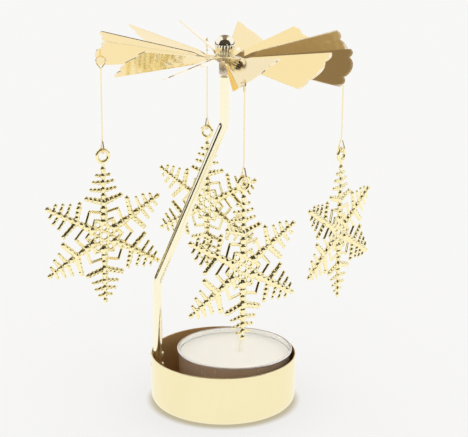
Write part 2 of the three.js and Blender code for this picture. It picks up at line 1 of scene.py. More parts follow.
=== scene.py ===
"""Candle carousel: a tealight in a round tray, a bent post, a twelve-vane rotor with a
ball knob, and four beaded snowflakes that hang from the rotor on wires.

Lengths are in millimetres until a mesh is made. The origin is the centre of the
tray's underside and Z is up. The rotor's pieces are drawn from the tip of the pin that
it balances on, and each snowflake's from its own middle.
"""
import json
import random
from functools import partialmethod
from math import acos, asin, atan2, copysign, cos, degrees, exp, hypot, pi, radians, sin, sqrt, tan

import bmesh
import bpy
from mathutils import Matrix, Quaternion, Vector, noise


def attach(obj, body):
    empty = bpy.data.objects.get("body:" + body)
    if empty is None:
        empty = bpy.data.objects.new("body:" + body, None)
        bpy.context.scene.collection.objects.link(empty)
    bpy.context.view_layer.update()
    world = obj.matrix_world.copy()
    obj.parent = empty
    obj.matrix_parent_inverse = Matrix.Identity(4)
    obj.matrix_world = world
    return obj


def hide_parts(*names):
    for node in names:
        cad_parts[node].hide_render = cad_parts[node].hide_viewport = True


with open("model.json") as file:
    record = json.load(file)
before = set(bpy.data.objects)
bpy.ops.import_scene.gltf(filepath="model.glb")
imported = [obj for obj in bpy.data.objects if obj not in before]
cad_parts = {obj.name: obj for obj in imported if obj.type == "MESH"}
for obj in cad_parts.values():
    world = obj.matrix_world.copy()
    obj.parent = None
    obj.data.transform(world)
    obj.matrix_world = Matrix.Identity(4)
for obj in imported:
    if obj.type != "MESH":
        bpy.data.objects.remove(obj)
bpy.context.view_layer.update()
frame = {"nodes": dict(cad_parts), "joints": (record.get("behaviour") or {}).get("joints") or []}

MM = 0.001  # metres in a millimetre
SMOOTH_ANGLE = 40  # degrees up to which an edge is shaded smooth
MERGE_REACH = 1e-7  # metres within which two vertices become one

# Finishes
MIX_COLOURS = (6, 7)  # the sockets that take a Mix node's two colours
EDGE_POINTINESS = (0.51, 0.57)  # from the first wear to the full
WORN_SHARES = (0.92, 0.86, 0.78)  # of a plating's red, green and blue where it is rubbed
METAL_LOSS_SHARE = 0.6  # of its metal look, lost there
GLOSS_SHARES = (0.7, 1.4)  # of a plating's roughness, across its wiped streaks
INNER_SHADE_SHARES = (0.7, 0.5)  # of the tray's wall, the depths between which the painted inner shade ends
FACE_SHARES = (0.6, 0.4)  # of the cup's wall, the same for the painted warm reflection on the foil's outer face
BEAD_SHARES = (1.2, 1)  # of the cup's bead, how far under the rim that face ends

# Tray
TRAY_RADIUS = 24
TRAY_HEIGHT = 16.8
TRAY_WALL = 0.4
TRAY_CORNER = 3
RIM_ROUND = 0.2

# Post
POST_X = -21.8
POST_RADIUS = 1.5
POST_FOOT = 6.5
LOWER_BEND = 41.2
UPPER_BEND = 94
BEND_RADIUS = 7
SHOULDER = 109.3
SHOULDER_ROUND = 0.4
SHOULDER_SEAM = 0.01  # between the shoulder's face and the pin's foot
PIN_RADIUS = 0.6
PIN_TAPER = 0.9
PIVOT = 118
FOOT_SHARE = 0.75  # of the rod's radius, at its cut foot
PINCH_SHARE = 0.12  # by which the rod bulges sideways at the upper rivet
PINCH_REACH_SHARE = 1.6  # rivet head radii over which it does
PIN_TIP_SHARE = 0.12

# Rivets
RIVET_HEIGHTS = {"upper": 15.75, "lower": 12}
RIVET_HEAD_RADIUS = 0.95
RIVET_INNER_HEAD = 0.8
RIVET_OUTER_HEAD = 0.35
RIVET_SHANK_RADIUS = 0.55
RIVET_STAND_OFF = 0.1  # between the outer head and the wall
RIVET_SINK = 0.2  # of the inner head into the rod

# Rotor
ROTOR_LEAN = 1.9  # degrees
LEAN_AZIMUTH = -18
ROTOR_PHASE = 13.8
SHEET = 0.3
SHEET_BEVEL = 0.05
HUB_RADIUS = 5.2
HUB_TOP = -3.2
VANE_COUNT = 12
VANE_TWIST = 35
VANE_RISE = 3
TWIST_LENGTH = 5
NECK_HALF_WIDTH = 1.15
CORNER_REACH = 38.6
CORNER_HALF_WIDTH = 8.3
NOTCH_REACH = 39
NOTCH_HALF_WIDTH = 4.35
BIG_LOBE = 1.9
SMALL_LOBE = 0.95
VANE_BOW = 0.15  # how far a vane's middle stands out of its plane
BOW_SHARES = (-0.6, 1)  # of that, for even and odd vanes
LOBE_POWERS = (0.75, 0.8)  # how full the big and the small lobes are
ROW_POWER = 1.3  # above 1, the mesh is finer near the hub
TWIST_SHARES = [1.2, 1, 1, 1, 1, 1, 1, 1, 0.75, 1, 1, 1]
RISE_SHARES = [1.4, 1, 1, 1.1, 0.9, 1, 1, 0.9, 1.4, 1, 1.1, 0.2]
HOOKED_VANES = (0, 3, 6, 9)
HOOK_REACH = 37.2
HOOK_OFFSET = -4
HOOK_RADIUS = 0.75

# Knob, washer and bush
BALL_RADIUS = 3.25
BALL_HEIGHT = 0.9
KNOB_NECK = 2.85
FLANGE_RADIUS = 3.75
FLANGE_THICKNESS = 0.6
FLANGE_BEVEL = 0.12
NECK_FILLET = [(0.35, 0.06), (0.08, 0.22)]  # out from the neck and up from the flange
NECK_WAIST = 0.06  # how far the neck is drawn in at its middle
BALL_FADE = 2  # below the ball's middle, over which the painted yellower reflection fades in
WASHER_RADIUS = 3
WASHER_THICKNESS = 0.5
BUSH_RADIUS = 1.6
BUSH_BORE = 1.15
BUSH_BOTTOM = -8.3
BUSH_CHAMFER = 0.15
BUSH_STEP_HEIGHT = 0.1
BUSH_STEPS = (0.08, 0.12)  # how far it is drawn in at the washer and in the hub

# Wires
WIRE_RADIUS = 0.24
TOP_EYE_RADIUS = 1.5
TOP_EYE_APEX = 2.35
TOP_EYE_DROP = 0.65
LOW_EYE_RADIUS = 1.15
LOW_EYE_APEX = 3.6
EYE_GAP = 0.05

# Snowflakes
FLAKE_YAWS = {"right": 55.5, "back": -30, "left": 28.5, "front": 36.4}
FLAKE_RADIUS = 22.7
FLAKE_ARMS = 6
RING_RADIUS = 1.95
RING_TUBE = 0.6
RING_DROP = 26.2
DEPTH_SHARE = 0.72  # of a lump's width, its depth through the snowflake
SPINE_START = 4.6
SPINE_TIP = 0.95
NECK_BAR = 0.6  # half the width of the bar up to the ring
BRANCH_REACH = 11
BRANCH_LENGTH = 6
BRANCH_ANGLE = 73  # degrees between an arm and its branches
TWIGS = [(14.9, 4.2), (17.4, 3.3), (19.7, 2.1)]  # reach on the arm and length
TWIG_ANGLE = 82
# Radii of the lumps at root and tip, their pitch, and the share of their width that is bar
SPINE_SIZES = (1.42, SPINE_TIP, 2.05, 0.55)
BRANCH_SIZES = (1.1, 0.95, 1.55, 0.77)
TWIG_SIZES = (0.85, 0.66, 1.5, 0.77)
CHEVRONS = [(7.5, 9.8, 0.56), (4.8, 6.3, 0.5)]  # reach of legs, of corner, half width
PETAL_REACH = 2.65
PETAL_RADIUS = 0.98
GAP_REACH = 4.35
GAP_RADIUS = 1.02
CENTRE_RADIUS = 1.3
LACE_TUBE = 0.4
FLAKE_VOXEL = 0.16
FLAKE_SEED = 7
LUMP_SHARES = (0.87, 1.07)  # shares of a lump's nominal radius
STRETCH_SHARES = (0.95, 1.25)  # its length along the bar for its width

# Tealight
TEALIGHT = (3.7, 1.9)
CUP_RIM = 19.2
CUP_TOP = 18.8
CUP_BASE = 18
CUP_CORNER = 1.2
CUP_HEIGHT = 17.2
CUP_WALL = 0.35
CUP_BEAD = 0.7
CUP_LIP = 0.1  # from the rim down to the inner face
FOIL_STILL_SHARE = 0.9  # of the base's radius, within which the foil is flat
FOIL_WAVE = (0.10, 0.22)  # height, and waves in a millimetre
FOIL_DENT = (0.03, 0.9)
RIM_WAVE_SHARE = 0.3
WAX_DEPTH = 2.1
WAX_GAP = 0.1  # between wax and foil
WAX_LIFTS = (0.02, 0.05)  # off the foil's floor, at its middle and its corner
WAX_WAVE = (0.08, 0.15)
HEIGHT_SLACK = 0.01  # within which a point counts as on the wax's top
WICK_SWELL = 0.35
SWELL_REACH = 1.6
MENISCUS = 0.35
MENISCUS_WIDTH = 1.8
MENISCUS_POWER = 2.2
WICK_OFFSET = (1.9, 0.6)
WICK_RADIUS = 0.65
WICK_HEIGHT = 6.5
WICK_START = 0.4
WICK_LEAN = 0.5  # if it leant over its whole length
LEAN_START_SHARE = 0.7  # share of the wick's length
STRAND_SHARE = 0.52  # of the wick's radius
STRAND_TURNS = 3.5

# Floor
FLOOR_HALF = 6000
CAMERA_GLOW = 0.68  # share of even white where the camera sees the floor
GLOSSY_GLOW = 0.92  # the same where metal sees it
CONTACT_REACH = 3  # mm from the tray within which the painted contact shadow darkens the floor
CONTACT_SHARES = (0.45, 0.96)  # shares of open sky between the darkest and the clear floor

# Studio, in parts of a direction. A pair is where a soft edge starts and ends.
ROOM_SLANT = 0.38
ROOM_EDGE = (0.0, 0.04)
RETREAT_REACH = 0.3
RETREAT_EDGE = (0.75, 0.95)
SIDE_BOX_EDGE = (0.29, 0.32)
SIDE_BOX_FOOT = (0.10, 0.13)
BACKDROP_SLANT = 0.5
BACKDROP_EDGE = (-0.03, 0.03)
BACKDROP_TOP = (0.28, 0.32)
WINDOW_DIRECTION = (0.42, -0.889, 0.178)
WINDOW_EDGE = (0.993, 0.996)
WALL_TOP = (0.18, 0.28)
CEILING_MIDDLE = (0.15, 0.28)
TABLE_LEVEL = (0.08, 0.12)

# The studio's tones
ROOM_DARK = (0.02, 0.017, 0.014)
ROOM_DIM = (0.07, 0.056, 0.042)
TABLE_DARK = (0.025, 0.02, 0.015)
CEILING_DIM = (0.28, 0.215, 0.155)
CEILING_PALE = (0.40, 0.31, 0.20)
SIDE_BOX_WHITE = (0.99, 0.99, 0.99)
BACKDROP_WHITE = (0.95, 0.95, 0.95)
EVEN_WHITE = (1.13, 1.13, 1.13)
SEEN_WHITE = (0.93, 0.93, 0.93)

# Camera, from the fit to the photograph: place in millimetres, angles in radians
CAMERA_PLACE = (0, -417.35, 179.21)
CAMERA_ANGLES = (0.00779, 0.27239, 0.00642)  # yaw, pitch and roll
CAMERA_LENS = 102.93
SENSOR_WIDTH = 36
CAMERA_CLIPS = (0.01, 50)  # metres


# Mesh helpers


def add_object(name, data):
    made = bpy.data.objects.new(name, data)
    bpy.context.scene.collection.objects.link(made)
    return made


def add_mesh(name, vertices, faces, smooth_angle=SMOOTH_ANGLE):
    """A mesh object from millimetre vertices, shaded smooth up to an angle."""
    data = bpy.data.meshes.new(name)
    data.from_pydata([Vector(v) * MM for v in vertices], [], faces)
    bm = bmesh.new()
    bm.from_mesh(data)
    bmesh.ops.remove_doubles(bm, verts=bm.verts, dist=MERGE_REACH)
    bmesh.ops.recalc_face_normals(bm, faces=bm.faces)
    bm.to_mesh(data)
    bm.free()
    data.polygons.foreach_set("use_smooth", [True] * len(data.polygons))
    data.set_sharp_from_angle(angle=radians(smooth_angle))
    return add_object(name, data)


def aloft(height):
    return Vector((0, 0, height))


def arc(centre_x, centre_y, radius, start, end, steps):
    """Points of an arc in a profile, with its angles in degrees."""
    angles = [radians(start + (end - start) * step / steps) for step in range(steps + 1)]
    return [(centre_x + radius * cos(angle), centre_y + radius * sin(angle)) for angle in angles]


def turned(name, profile, steps=128, wobble=None, smooth_angle=SMOOTH_ANGLE):
    """A turned body from (radius, height) points, closed on the axis or on itself."""
    vertices = []
    faces = []
    rows = len(profile)
    for step in range(steps):
        angle = 2 * pi * step / steps
        for radius, height in profile:
            point = Vector((radius * cos(angle), radius * sin(angle), height))
            vertices.append(wobble(point) if wobble else point)
    closed = profile[0][0] > 0 and profile[-1][0] > 0
    for step in range(steps):
        here = step * rows
        there = (step + 1) % steps * rows
        for row in range(rows if closed else rows - 1):
            after = (row + 1) % rows
            faces.append((here + row, there + row, there + after, here + after))
    return add_mesh(name, vertices, faces, smooth_angle)


def path_frames(path):
    """Two directions across each point of a path, turned along with it."""
    tangents = []
    for index in range(len(path)):
        before = path[max(index - 1, 0)]
        after = path[min(index + 1, len(path) - 1)]
        tangents.append((after - before).normalized())
    steep = 0.7
    aside = Vector((1, 0, 0)) if abs(tangents[0].y) > steep else Vector((0, 1, 0))
    across = aside.cross(tangents[0]).normalized()
    frames = []
    for index, tangent in enumerate(tangents):
        if index:
            across = tangents[index - 1].rotation_difference(tangent) @ across
        frames.append((across.copy(), tangent.cross(across)))
    return frames


def rod(name, path, radii, sides, smooth_angle=SMOOTH_ANGLE):
    """A rod with flat ends. A radius may be a pair of half widths."""
    vertices = []
    faces = []
    for centre, radius, (across, along) in zip(path, radii, path_frames(path)):
        wide, deep = radius if isinstance(radius, tuple) else (radius, radius)
        for side in range(sides):
            angle = 2 * pi * side / sides
            vertices.append(centre + across * wide * cos(angle) + along * deep * sin(angle))
    for ring in range(len(path) - 1):
        for side in range(sides):
            a = ring * sides + side
            b = ring * sides + (side + 1) % sides
            faces.append((a, b, b + sides, a + sides))
    faces.append(tuple(range(sides - 1, -1, -1)))
    last = (len(path) - 1) * sides
    faces.append(tuple(range(last, last + sides)))
    return add_mesh(name, vertices, faces, smooth_angle)


def fillet_path(corners, radius, steps):
    """A path through corners that are rounded to a radius."""
    path = [corners[0]]
    for before, corner, after in zip(corners, corners[1:], corners[2:]):
        back = (before - corner).normalized()
        ahead = (after - corner).normalized()
        half = back.angle(ahead) / 2
        centre = corner + (back + ahead).normalized() * radius / sin(half)
        start = corner + back * radius / tan(half) - centre
        axis = start.cross(ahead).normalized()
        for step in range(steps + 1):
            turn = Quaternion(axis, (pi - 2 * half) * step / steps)
            path.append(centre + turn @ start)
    path.append(corners[-1])
    return path


def place(piece, matrix):
    """Moves a mesh's own vertices by a matrix whose shift is in millimetres."""
    shifted = matrix.copy()
    shifted.translation = matrix.translation * MM
    piece.data.transform(shifted)
    return piece


def apply_modifiers(piece):
    """Turns a piece's modifiers into its own mesh."""
    graph = bpy.context.evaluated_depsgraph_get()
    made = bpy.data.meshes.new_from_object(piece.evaluated_get(graph))
    piece.modifiers.clear()
    piece.data = made
    return piece


def bevel(piece):
    """Rounds a sheet's sharp edges a little."""
    modifier = piece.modifiers.new("bevel", "BEVEL")
    modifier.width = SHEET_BEVEL * MM
    modifier.segments = 2
    modifier.limit_method = "ANGLE"
    modifier.angle_limit = radians(SMOOTH_ANGLE)
    return apply_modifiers(piece)


# Material helpers


class Nodes:
    """Short calls that add nodes to a node tree and link their inputs."""

    def __init__(self, tree):
        self.nodes = tree.nodes
        self.links = tree.links

    def fill(self, socket, value):
        if isinstance(value, bpy.types.NodeSocket):
            self.links.new(value, socket)
        else:
            socket.default_value = value

    def node(self, kind, inputs, **settings):
        made = self.nodes.new(kind)
        for key, value in settings.items():
            setattr(made, key, value)
        for key, value in inputs.items():
            self.fill(made.inputs[key], value)
        return made

    def calc(self, operation, first, second=0.0):
        return self.node("ShaderNodeMath", {0: first, 1: second}, operation=operation).outputs[0]

    plus = partialmethod(calc, "ADD")
    minus = partialmethod(calc, "SUBTRACT")
    times = partialmethod(calc, "MULTIPLY")

    def spread(self, value, low, high, start=0.3, end=0.7):
        """Runs from low to high while the value runs from start to end."""
        inputs = {0: value, 1: start, 2: end, 3: low, 4: high}
        return self.node("ShaderNodeMapRange", inputs).outputs[0]

    def rise(self, value, edge):
        """0 before the edge, which is a start and an end, and 1 after it."""
        return self.spread(value, 0, 1, *edge)

    def fall(self, value, edge):
        """1 before the edge and 0 after it."""
        return self.spread(value, 1, 0, *edge)

    def blend(self, factor, first, second):
        """Mixes two colours, each a triple or another node's output."""
        made = self.node("ShaderNodeMix", {0: factor}, data_type="RGBA")
        for socket, colour in zip(MIX_COLOURS, (first, second)):
            linked = isinstance(colour, bpy.types.NodeSocket)
            self.fill(made.inputs[socket], colour if linked else (*colour, 1))
        return made.outputs[2]


class Shader(Nodes):
    """A principled material whose textures follow the piece's own coordinates."""

    def __init__(self, name, material=None):
        self.material = material or bpy.data.materials.new(name)
        self.material.use_nodes = True
        super().__init__(self.material.node_tree)
        self.surface = self.nodes["Principled BSDF"]
        self.coordinates = self.nodes.new("ShaderNodeTexCoord").outputs["Object"]

    def stretched(self, share):
        """Coordinates in which a texture is drawn out along Z, more for a smaller share."""
        mapping = self.node("ShaderNodeMapping", {"Vector": self.coordinates, "Scale": (1, 1, share)})
        return mapping.outputs["Vector"]

    def noise(self, per_mm, detail=3.0, roughness=0.5, vector=None):
        inputs = {"Vector": vector or self.coordinates, "Scale": per_mm / MM}
        inputs.update({"Detail": detail, "Roughness": roughness})
        return self.node("ShaderNodeTexNoise", inputs).outputs["Fac"]

    def bump(self, height, distance, normal=None):
        """A normal from a height map whose full range is the distance, in millimetres."""
        inputs = {"Height": height, "Distance": distance * MM}
        if normal:
            inputs["Normal"] = normal
        return self.node("ShaderNodeBump", inputs).outputs["Normal"]

    def feed(self, socket, value):
        self.fill(self.surface.inputs[socket], value)

    def fed(self, socket):
        """What already runs into one of the surface's sockets."""
        return self.surface.inputs[socket].links[0].from_socket

    def height(self):
        return self.node("ShaderNodeSeparateXYZ", {0: self.coordinates}).outputs["Z"]

    def reach(self, centre_x=0, centre_y=0):
        """Distance from an upright axis."""
        split = self.node("ShaderNodeSeparateXYZ", {0: self.coordinates})
        across = self.minus(split.outputs["X"], centre_x * MM)
        along = self.minus(split.outputs["Y"], centre_y * MM)
        return self.diagonal(across, along)

    def diagonal(self, across, along):
        squares = [self.calc("POWER", side, 2.0) for side in (across, along)]
        return self.calc("SQRT", self.plus(*squares))

    def worn_edges(self, amount):
        """How much of the finish is rubbed off: on edges that stand out, in patches."""
        shape = self.nodes.new("ShaderNodeNewGeometry").outputs["Pointiness"]
        patches = self.spread(self.noise(per_mm=0.7, detail=4), low=0.25, high=1)
        return self.times(self.spread(shape, 0, amount, *EDGE_POINTINESS), patches)

    def feed_roughness(self, gloss, worn, change):
        """A roughness that changes where the finish is worn."""
        self.feed("Roughness", self.plus(gloss, self.times(worn, change)))


def polished_gold(name, light, deep, roughness, scratches, ripple, wear=0.35, rubbed=None):
    """Plated metal: two tones in soft clouds, wiped streaks in its gloss, a faint ripple,
    and edges where the plating is rubbed thin and duller. A near-white rubbed colour,
    as on the vanes, also paints a highlight along those edges."""
    shader = Shader(name)
    clouds = shader.noise(per_mm=0.08, detail=2)
    smears = shader.noise(per_mm=0.6, vector=shader.stretched(0.25))
    grain = shader.noise(per_mm=9, detail=2)
    waves = shader.noise(per_mm=0.12, detail=1)
    worn = shader.worn_edges(wear)
    rubbed = rubbed or tuple(channel * share for channel, share in zip(deep, WORN_SHARES))
    shader.feed("Base Color", shader.blend(worn, shader.blend(clouds, light, deep), rubbed))
    shader.feed("Metallic", shader.minus(1, shader.times(worn, METAL_LOSS_SHARE)))
    gloss = shader.spread(smears, *(roughness * share for share in GLOSS_SHARES))
    shader.feed_roughness(gloss, worn, change=0.15)
    shader.feed("Normal", shader.bump(waves, ripple, normal=shader.bump(grain, scratches)))
    return shader.material


# On the vanes the rubbed edges are near white: partly wear, partly a painted highlight where the sheet's
# edges catch the light
SHEET_GOLD = polished_gold(
    "sheet_gold", light=(0.97, 0.79, 0.42), deep=(0.95, 0.76, 0.38),
    roughness=0.07, scratches=0.0006, ripple=0.02, wear=1.0, rubbed=(1.0, 0.98, 0.90),
)
ROD_GOLD = polished_gold(
    "rod_gold", light=(1.0, 0.95, 0.74), deep=(0.99, 0.92, 0.67),
    roughness=0.10, scratches=0.0006, ripple=0.008,
)
KNOB_GOLD = polished_gold(
    "knob_gold", light=(0.97, 0.93, 0.79), deep=(0.95, 0.90, 0.73),
    roughness=0.035, scratches=0.0003, ripple=0.002, wear=0.2,
)
WIRE_GOLD = polished_gold(
    "wire_gold", light=(0.96, 0.86, 0.58), deep=(0.92, 0.80, 0.50),
    roughness=0.10, scratches=0.0005, ripple=0.002, wear=0.15,
)
FLAKE_GOLD = polished_gold(
    "flake_gold", light=(1.0, 0.93, 0.60), deep=(1.0, 0.88, 0.50),
    roughness=0.03, scratches=0.0004, ripple=0.008, wear=0.12,
)
BUSH_GOLD = polished_gold(
    "bush_gold", light=(0.80, 0.69, 0.56), deep=(0.74, 0.62, 0.48),
    roughness=0.22, scratches=0.001, ripple=0.004,
)


def paint_ball_reflection(material):
    """A duller, less metallic lower half to the ball, painted yellower: a painted reflection of the gold
    vanes that it mirrors.
    """
    # The yellower tone is a painted reflection of the gold vanes below the ball
    reflected_yellow, reflection_share = (0.98, 0.82, 0.46), 0.8
    metal_loss, dullness = 0.35, 0.18
    shader = Shader(material.name, material)
    level = PIVOT + BALL_HEIGHT
    lower = shader.fall(shader.height(), [(level - BALL_FADE) * MM, level * MM])
    painted_reflection = shader.times(lower, reflection_share)
    shader.feed("Base Color", shader.blend(painted_reflection, shader.fed("Base Color"), reflected_yellow))
    shader.feed("Metallic", shader.minus(shader.fed("Metallic"), shader.times(lower, metal_loss)))
    shader.feed_roughness(shader.fed("Roughness"), lower, change=dullness)


paint_ball_reflection(KNOB_GOLD)


def tray_sheet():
    """The tray: pale bright gold outside; inside, painted shade: a browner, duller and less metallic
    face that stands in for the dark the inside mirrors.
    """
    material = polished_gold(
        "tray_gold", light=(0.96, 0.865, 0.555), deep=(0.94, 0.84, 0.515),
        roughness=0.12, scratches=0.0008, ripple=0.01,
    )
    # Painted shade: these brown tones stand in for the dark that the tray's inside mirrors
    inner_shade_light, inner_shade_deep = (0.655, 0.425, 0.197), (0.54, 0.33, 0.14)
    inner_roughness, inner_metal = 0.28, 0.55
    shader = Shader(material.name, material)
    # Distance from the circle about which the sheet bends from floor to wall
    past_bend = shader.minus(shader.reach(), (TRAY_RADIUS - TRAY_CORNER) * MM)
    below_bend = shader.minus(shader.height(), TRAY_CORNER * MM)
    past_bend = shader.calc("MAXIMUM", past_bend, 0)
    below_bend = shader.calc("MINIMUM", below_bend, 0)
    skin = [(TRAY_CORNER - TRAY_WALL * share) * MM for share in INNER_SHADE_SHARES]
    inside = shader.fall(shader.diagonal(past_bend, below_bend), skin)
    shade_clouds = shader.noise(per_mm=0.12, detail=3)
    inner_shade = shader.blend(shade_clouds, inner_shade_light, inner_shade_deep)
    gloss = shader.node("ShaderNodeMix", {0: inside, 2: shader.fed("Roughness"), 3: inner_roughness})
    shader.feed("Base Color", shader.blend(inside, shader.fed("Base Color"), inner_shade))
    shader.feed("Roughness", gloss.outputs[0])
    shader.feed("Metallic", shader.spread(inside, 1, inner_metal, 0, 1))
    return material


def cup_aluminium():
    """Thin drawn foil: bright, with drawing lines up its wall, small dull patches and a painted warm
    reflection on its outer face.
    """
    bright, dull, rubbed = (0.97, 0.96, 0.95), (0.92, 0.91, 0.91), (0.99, 0.99, 0.99)
    # The warm tone is a painted reflection of the tray's inside on the foil
    reflected_warmth = (0.99, 0.90, 0.76)
    shader = Shader("cup_aluminium")
    drawn = shader.noise(per_mm=1.4, detail=4, vector=shader.stretched(0.04))
    patches = shader.noise(per_mm=0.3, detail=2)
    worn = shader.worn_edges(0.5)
    foil = shader.blend(worn, shader.blend(patches, bright, dull), rubbed)
    # A painted reflection: a warm tint on the wall's outer face, below the bead, where the foil mirrors
    # the tray's inside
    height = shader.minus(shader.height(), TRAY_WALL * MM)
    taper = shader.times(height, (CUP_TOP - CUP_BASE) / CUP_HEIGHT)
    past_wall = shader.minus(shader.reach(*TEALIGHT), taper)
    outer_face = [(CUP_BASE - CUP_WALL * share) * MM for share in FACE_SHARES]
    bead = [(CUP_HEIGHT - CUP_BEAD * share) * MM for share in BEAD_SHARES]
    painted_reflection = shader.times(shader.rise(past_wall, outer_face), shader.fall(height, bead))
    shader.feed("Base Color", shader.blend(painted_reflection, foil, reflected_warmth))
    shader.feed("Metallic", 0.8)
    shader.feed_roughness(shader.spread(drawn, low=0.18, high=0.28), worn, change=-0.1)
    shader.feed("Normal", shader.bump(drawn, distance=0.002))
    return shader.material


def candle_wax():
    """Ivory wax: slightly mottled, with a soft gloss and a cast ripple on its top."""
    pale, cream, rubbed = (1.0, 0.97, 0.88), (0.99, 0.95, 0.85), (0.99, 0.98, 0.94)
    shader = Shader("candle_wax")
    mottle = shader.noise(per_mm=0.35, detail=5, roughness=0.6)
    ripple = shader.noise(per_mm=0.15, detail=2)
    worn = shader.worn_edges(0.5)
    shader.feed("Base Color", shader.blend(worn, shader.blend(mottle, pale, cream), rubbed))
    shader.feed_roughness(shader.spread(mottle, low=0.38, high=0.55), worn, change=0.2)
    shader.feed("Subsurface Weight", 0.25)
    shader.feed("Subsurface Radius", (0.004, 0.003, 0.002))
    shader.feed("Subsurface Scale", 0.5)
    grained = shader.bump(mottle, distance=0.01)
    shader.feed("Normal", shader.bump(ripple, distance=0.06, normal=grained))
    return shader.material


def wick_cotton():
    """Waxed cotton: cream, duller and a little darker in streaks that run along it."""
    cream, darker, rubbed = (0.95, 0.92, 0.80), (0.88, 0.83, 0.68), (0.97, 0.95, 0.88)
    shader = Shader("wick_cotton")
    fibres = shader.noise(per_mm=6, detail=4, vector=shader.stretched(0.3))
    cord = shader.blend(fibres, cream, darker)
    shader.feed("Base Color", shader.blend(shader.worn_edges(0.4), cord, rubbed))
    shader.feed("Roughness", shader.spread(fibres, low=0.6, high=0.85))
    shader.feed("Normal", shader.bump(fibres, distance=0.04))
    return shader.material


def tinned_steel():
    """The wick's stamped foot: dull tinned sheet with fine spangle."""
    bright, dull, rubbed = (0.70, 0.70, 0.72), (0.55, 0.55, 0.58), (0.45, 0.43, 0.42)
    cells_per_mm = 1.2
    shader = Shader("tab_steel")
    inputs = {"Vector": shader.coordinates, "Scale": cells_per_mm / MM}
    spangle = shader.node("ShaderNodeTexVoronoi", inputs).outputs["Distance"]
    tin = shader.blend(spangle, bright, dull)
    shader.feed("Base Color", shader.blend(shader.worn_edges(0.5), tin, rubbed))
    shader.feed("Normal", shader.bump(spangle, distance=0.004))
    shader.feed("Metallic", 1.0)
    shader.feed("Roughness", shader.spread(spangle, low=0.3, high=0.45))
    return shader.material


def finish_piece(piece, material, body, node):
    """Gives a piece its material, its body and the CAD node that it stands for."""
    piece.data.materials.clear()
    piece.data.materials.append(material)
    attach(piece, body)
    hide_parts(node)


# Tray and post


def make_tray():
    inset = TRAY_RADIUS - TRAY_CORNER
    profile = [(0, 0), (inset / 2, 0)]
    profile += arc(inset, TRAY_CORNER, TRAY_CORNER, -90, 0, steps=12)
    profile += arc(TRAY_RADIUS - RIM_ROUND, TRAY_HEIGHT - RIM_ROUND, RIM_ROUND, 0, 180, steps=8)
    profile += arc(inset, TRAY_CORNER, TRAY_CORNER - TRAY_WALL, 0, -90, steps=12)
    profile += [(inset / 2, TRAY_WALL), (0, TRAY_WALL)]
    return turned("tray", profile, steps=256)


def make_post():
    """The rod, with its foot pinched a little where it is riveted, and the turned pin."""
    corners = [(POST_X, POST_FOOT), (POST_X, LOWER_BEND), (0, UPPER_BEND), (0, SHOULDER)]
    bent = fillet_path([Vector((x, 0, z)) for x, z in corners], BEND_RADIUS, steps=24)
    path = []
    radii = []
    foot_steps, cut_steps = 28, 3
    foot_top = RIVET_HEIGHTS["upper"] + 4 * RIVET_HEAD_RADIUS
    for step in range(foot_steps):
        height = POST_FOOT + (foot_top - POST_FOOT) * step / foot_steps
        share = min(step / cut_steps, 1)
        near = max(0, 1 - abs(height - RIVET_HEIGHTS["upper"]) / (PINCH_REACH_SHARE * RIVET_HEAD_RADIUS))
        swell = POST_RADIUS * (FOOT_SHARE + (1 - FOOT_SHARE) * share)
        path.append(Vector((POST_X, 0, height)))
        radii.append((swell, swell * (1 + PINCH_SHARE * near)))
    path += bent[1:-1] + [aloft(SHOULDER - 1.5 * SHOULDER_ROUND)]
    radii += [POST_RADIUS] * (len(bent) - 1)
    for share in (0, 0.3, 0.7, 1):
        angle = share * pi / 2
        path.append(aloft(SHOULDER - SHOULDER_ROUND * (1 - sin(angle))))
        radii.append(POST_RADIUS - SHOULDER_ROUND * (1 - cos(angle)))
    pin = (SHOULDER + SHOULDER_SEAM, PIVOT - PIN_TAPER, PIVOT)
    path += [aloft(height) for height in pin]
    radii += [PIN_RADIUS, PIN_RADIUS, PIN_RADIUS * PIN_TIP_SHARE]
    return rod("post_rod", path, radii, sides=48, smooth_angle=35)


def make_rivet(which):
    """A rivet through the wall and the rod, with a domed head at each end."""
    length = POST_X + POST_RADIUS - RIVET_SINK + TRAY_RADIUS
    profile = [(0, -RIVET_OUTER_HEAD)]
    for angle in (0.4, 0.8, 1.2, 1.45):
        profile.append((RIVET_HEAD_RADIUS * sin(angle), -RIVET_OUTER_HEAD * cos(angle)))
    profile += [(RIVET_SHANK_RADIUS, -RIVET_STAND_OFF), (RIVET_SHANK_RADIUS, length)]
    profile.append((RIVET_HEAD_RADIUS, length))
    for angle in (0.3, 0.7, 1.1, 1.4):
        dome = length + RIVET_INNER_HEAD * sin(angle)
        profile.append((RIVET_HEAD_RADIUS * cos(angle), dome))
    profile.append((0, length + RIVET_INNER_HEAD))
    rivet = turned(f"rivet_{which}", profile, steps=40)
    turn = Matrix.Rotation(pi / 2, 4, "Y")
    shift = Matrix.Translation((-TRAY_RADIUS, 0, RIVET_HEIGHTS[which]))
    return place(rivet, shift @ turn)


# Rotor


def vane_point(reach, offset, height, vane):
    """Where a point of the flat blank lies once its vane is twisted, raised and bowed,
    and turned to its place round the hub."""
    free = max(reach - HUB_RADIUS, 0)
    share = min(free / TWIST_LENGTH, 1)
    twist = radians(VANE_TWIST * TWIST_SHARES[vane] * share * share * (3 - 2 * share))
    rise = radians(VANE_RISE * RISE_SHARES[vane])
    half = half_width(reach)
    bow = VANE_BOW * share * (1 - (offset / half) ** 2) * BOW_SHARES[vane % 2]
    height += bow
    point = Vector((
        min(reach, HUB_RADIUS) + free * cos(rise),
        offset * cos(twist) - height * sin(twist),
        free * sin(rise) + offset * sin(twist) + height * cos(twist),
    ))
    azimuth = radians(ROTOR_PHASE + 360 * vane / VANE_COUNT)
    return Matrix.Rotation(azimuth, 3, "Z") @ point + aloft(HUB_TOP - SHEET / 2)


